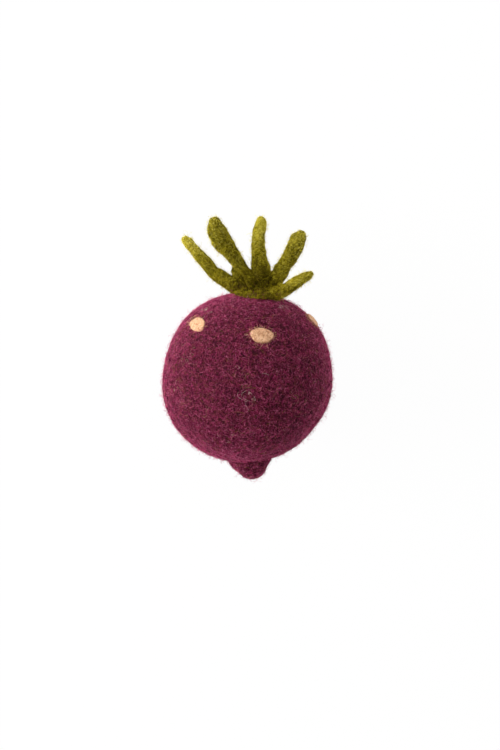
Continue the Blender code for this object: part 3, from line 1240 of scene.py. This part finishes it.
# %% Lay the stray hairs
STRAY = Fibre(8, 5.0 * MM, 0.045 * MM, 0.75, 0.30 * MM, 0)
COLLAR = Fibre(6, 4.0 * MM, 0.045 * MM, 0.50, 0.25 * MM, 0)
COLLAR_DEPTH = 3.5 * MM
COLLAR_TRIES, COLLAR_HAIRS = 6000, 380
COLLAR_DYES = (0.4, 0.9)
PALE_SPREAD = 0.12
TANGLES = (
    # the middle and the reach in pixels, how many hairs, and how pale they are
    ((245, 397), 9, 9, 0.8),
    ((285, 307), 6, 9, 0.7),
    ((206, 311), 5, 5, 0.8),
    ((187, 352), 9, 8, 0.6),
    ((178, 386), 4, 3, 0.7),
    ((206, 411), 5, 4, 0.3),
    ((241, 368), 3, 2, 0.9),
    ((267, 374), 3, 1, 1.0),
    ((248, 383), 4, 6, 0.0),
    ((226, 440), 9, 4, 0.5),
    ((300, 400), 12, 5, 0.2),
)


def lay_strays():
    """Tangles of a few pale hairs at their places on the ball."""
    draw = np.random.default_rng(104)
    starts, dye = [], []
    for (x, y), reach, count, pale in TANGLES:
        for right, down in draw.normal(0, reach / 2, (count, 2)):
            start = under_pixel(root_tree, x + right, y + down)
            if start is not None:
                starts.append(start)
                dye.append(pale + draw.normal(0, PALE_SPREAD))
    starts, dye = np.array(starts), np.clip(dye, 0, 1)
    headings = every_way(len(starts), draw)
    return lay("stray_fibres", ball_tree, starts, headings, dye, STRAY, stray_wool, draw)


def lay_collar():
    """Burgundy hairs over the foot of the leaves."""
    draw = np.random.default_rng(105)
    starts, _ = scatter(leaf_skin, COLLAR_TRIES, draw)
    near = np.linalg.norm(starts - np.array(BALL_MIDDLE), axis=1) < BALL_RADIUS + COLLAR_DEPTH
    starts = starts[near][:COLLAR_HAIRS]
    headings, dye = every_way(len(starts), draw), draw.uniform(*COLLAR_DYES, len(starts))
    tree = search_tree(root_skin, leaf_skin)
    return lay("collar_fibres", tree, starts, headings, dye, COLLAR, beet_fibre_wool, draw)


root_coats += [lay_strays(), lay_collar()]

# %% [markdown]
# ## Fibres of the leaves
#
# A felt finger is rolled, so more of its fibres run along it than across. Each fibre sets off away
# from the pad or towards it, within a wide fan, and curls less than the ball's do. The tips are
# yellower than the feet, so a fibre's dye rises with its distance from the pad. Near the pad and in
# the hollows the dye is also painted darker, as painted shade.

# %% Lay the leaves' fibres
LEAF_FIBRE = Fibre(5, 4.0 * MM, 0.052 * MM, 0.32, 0.18 * MM, 0)
LEAF_FUZZ = Fibre(2, 0.9 * MM, 0.048 * MM, 0.50, 0, 0.25 * MM)
LEAF_LOOSE = Fibre(3, 1.8 * MM, 0.036 * MM, 0.80, 0, 0.45 * MM)
LEAF_PLACES = (0.2, 0.45, 1.0)
# Painted shade: the dye is made darker near the pad, and a little paler at the tips.
PAD_PAINTED_SHADE_AND_TIP_PALENESS = (-0.30, -0.04, 0.05)
FAN_SPREAD = 0.45
# The second number is painted shade: how much darker the dye is made in the hollows.
YELLOW_PALES, LEAF_CREASE_PAINTED_SHADE = 0.32, 0.45

leaf_tree = search_tree(leaf_skin)


def lay_on_leaves(name, count, fibre, material, spread, paler, seed):
    """A coat mostly along the leaves, yellower at the tips, with painted shade at the pad and in hollows.
    """
    draw = np.random.default_rng(seed)
    starts, corners = scatter(leaf_skin, count, draw)
    headings = unit(starts - np.array(PAD_MIDDLE)) + draw.normal(0, FAN_SPREAD, (count, 3))
    headings *= draw.choice([-1.0, 1.0], (count, 1))
    dye = spread * draw.random(count) + paler + YELLOW_PALES * noted(leaf_skin, "yellow", corners)
    # Painted shade: fibres near the pad and in the hollows get a darker dye.
    dye += np.interp(noted(leaf_skin, "from_pad", corners), LEAF_PLACES, PAD_PAINTED_SHADE_AND_TIP_PALENESS)
    dye = np.clip(dye - LEAF_CREASE_PAINTED_SHADE * noted(leaf_skin, "hollow", corners), 0, 1)
    return lay(name, leaf_tree, starts, headings, dye, fibre, material, draw)


leaf_coats = [
    lay_on_leaves("leaf_fibres", 4600, LEAF_FIBRE, leaf_fibre_wool, 0.50, 0.02, 200),
    # Painted light: the fuzz and loose ends get a paler dye, as for loose fibres lit from all sides.
    lay_on_leaves("leaf_fuzz", 9500, LEAF_FUZZ, leaf_haze_wool, 0.45, 0.22, 202),
    lay_on_leaves("leaf_loose_fibres", 7000, LEAF_LOOSE, leaf_haze_wool, 0.55, 0.26, 201),
]

# %% [markdown]
# ## Fibres of the spots
#
# The cream wisps are finer wool. Their fibres lie over the spot every way, and those near the rim
# run out over the burgundy for a millimetre or so.

# %% Lay the spots' fibres
SPOT_FIBRE = Fibre(5, 2.2 * MM, 0.042 * MM, 0.45, 0.16 * MM, 0)
SPOT_FUZZ = Fibre(2, 0.6 * MM, 0.040 * MM, 0.50, 0, 0.30 * MM)
SPOT_SPREAD = 1.12
SPOT_TRIES = 60000


def lay_on_spots(name, count, fibre, seed):
    """A coat over every spot, and a little beyond its rim."""
    draw = np.random.default_rng(seed)
    places, _ = scatter(root_skin, SPOT_TRIES, draw)
    starts = [places[share_of_spot(places, spot) < SPOT_SPREAD][:count] for spot in SPOTS]
    starts = np.concatenate(starts)
    headings, dye = every_way(len(starts), draw), draw.random(len(starts))
    return lay(name, ball_tree, starts, headings, dye, fibre, cream_fibre_wool, draw)


spot_coats = [
    lay_on_spots("spot_fibres", 240, SPOT_FIBRE, 300),
    lay_on_spots("spot_fuzz", 320, SPOT_FUZZ, 301),
]

# %% [markdown]
# ## Put the wool in place of the solids
#
# Each skin stands for its solid. Nothing on a beetroot moves, so every piece rides on the one body.

# %% Hand the pieces over
slots = {
    "beet_wool": [root_skin, *root_coats],
    "leaf_wool": [leaf_skin, *leaf_coats],
    "cream_wool": [*spot_skins.values(), *spot_coats],
}
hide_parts("root")
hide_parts("leaf_crown")
for spot, skin in spot_skins.items():
    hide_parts(spot)
total = 0
for slot_name, pieces in slots.items():
    for piece in pieces:
        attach(piece, "root")
        total += triangles_in(piece)
print("triangles in all:", total)
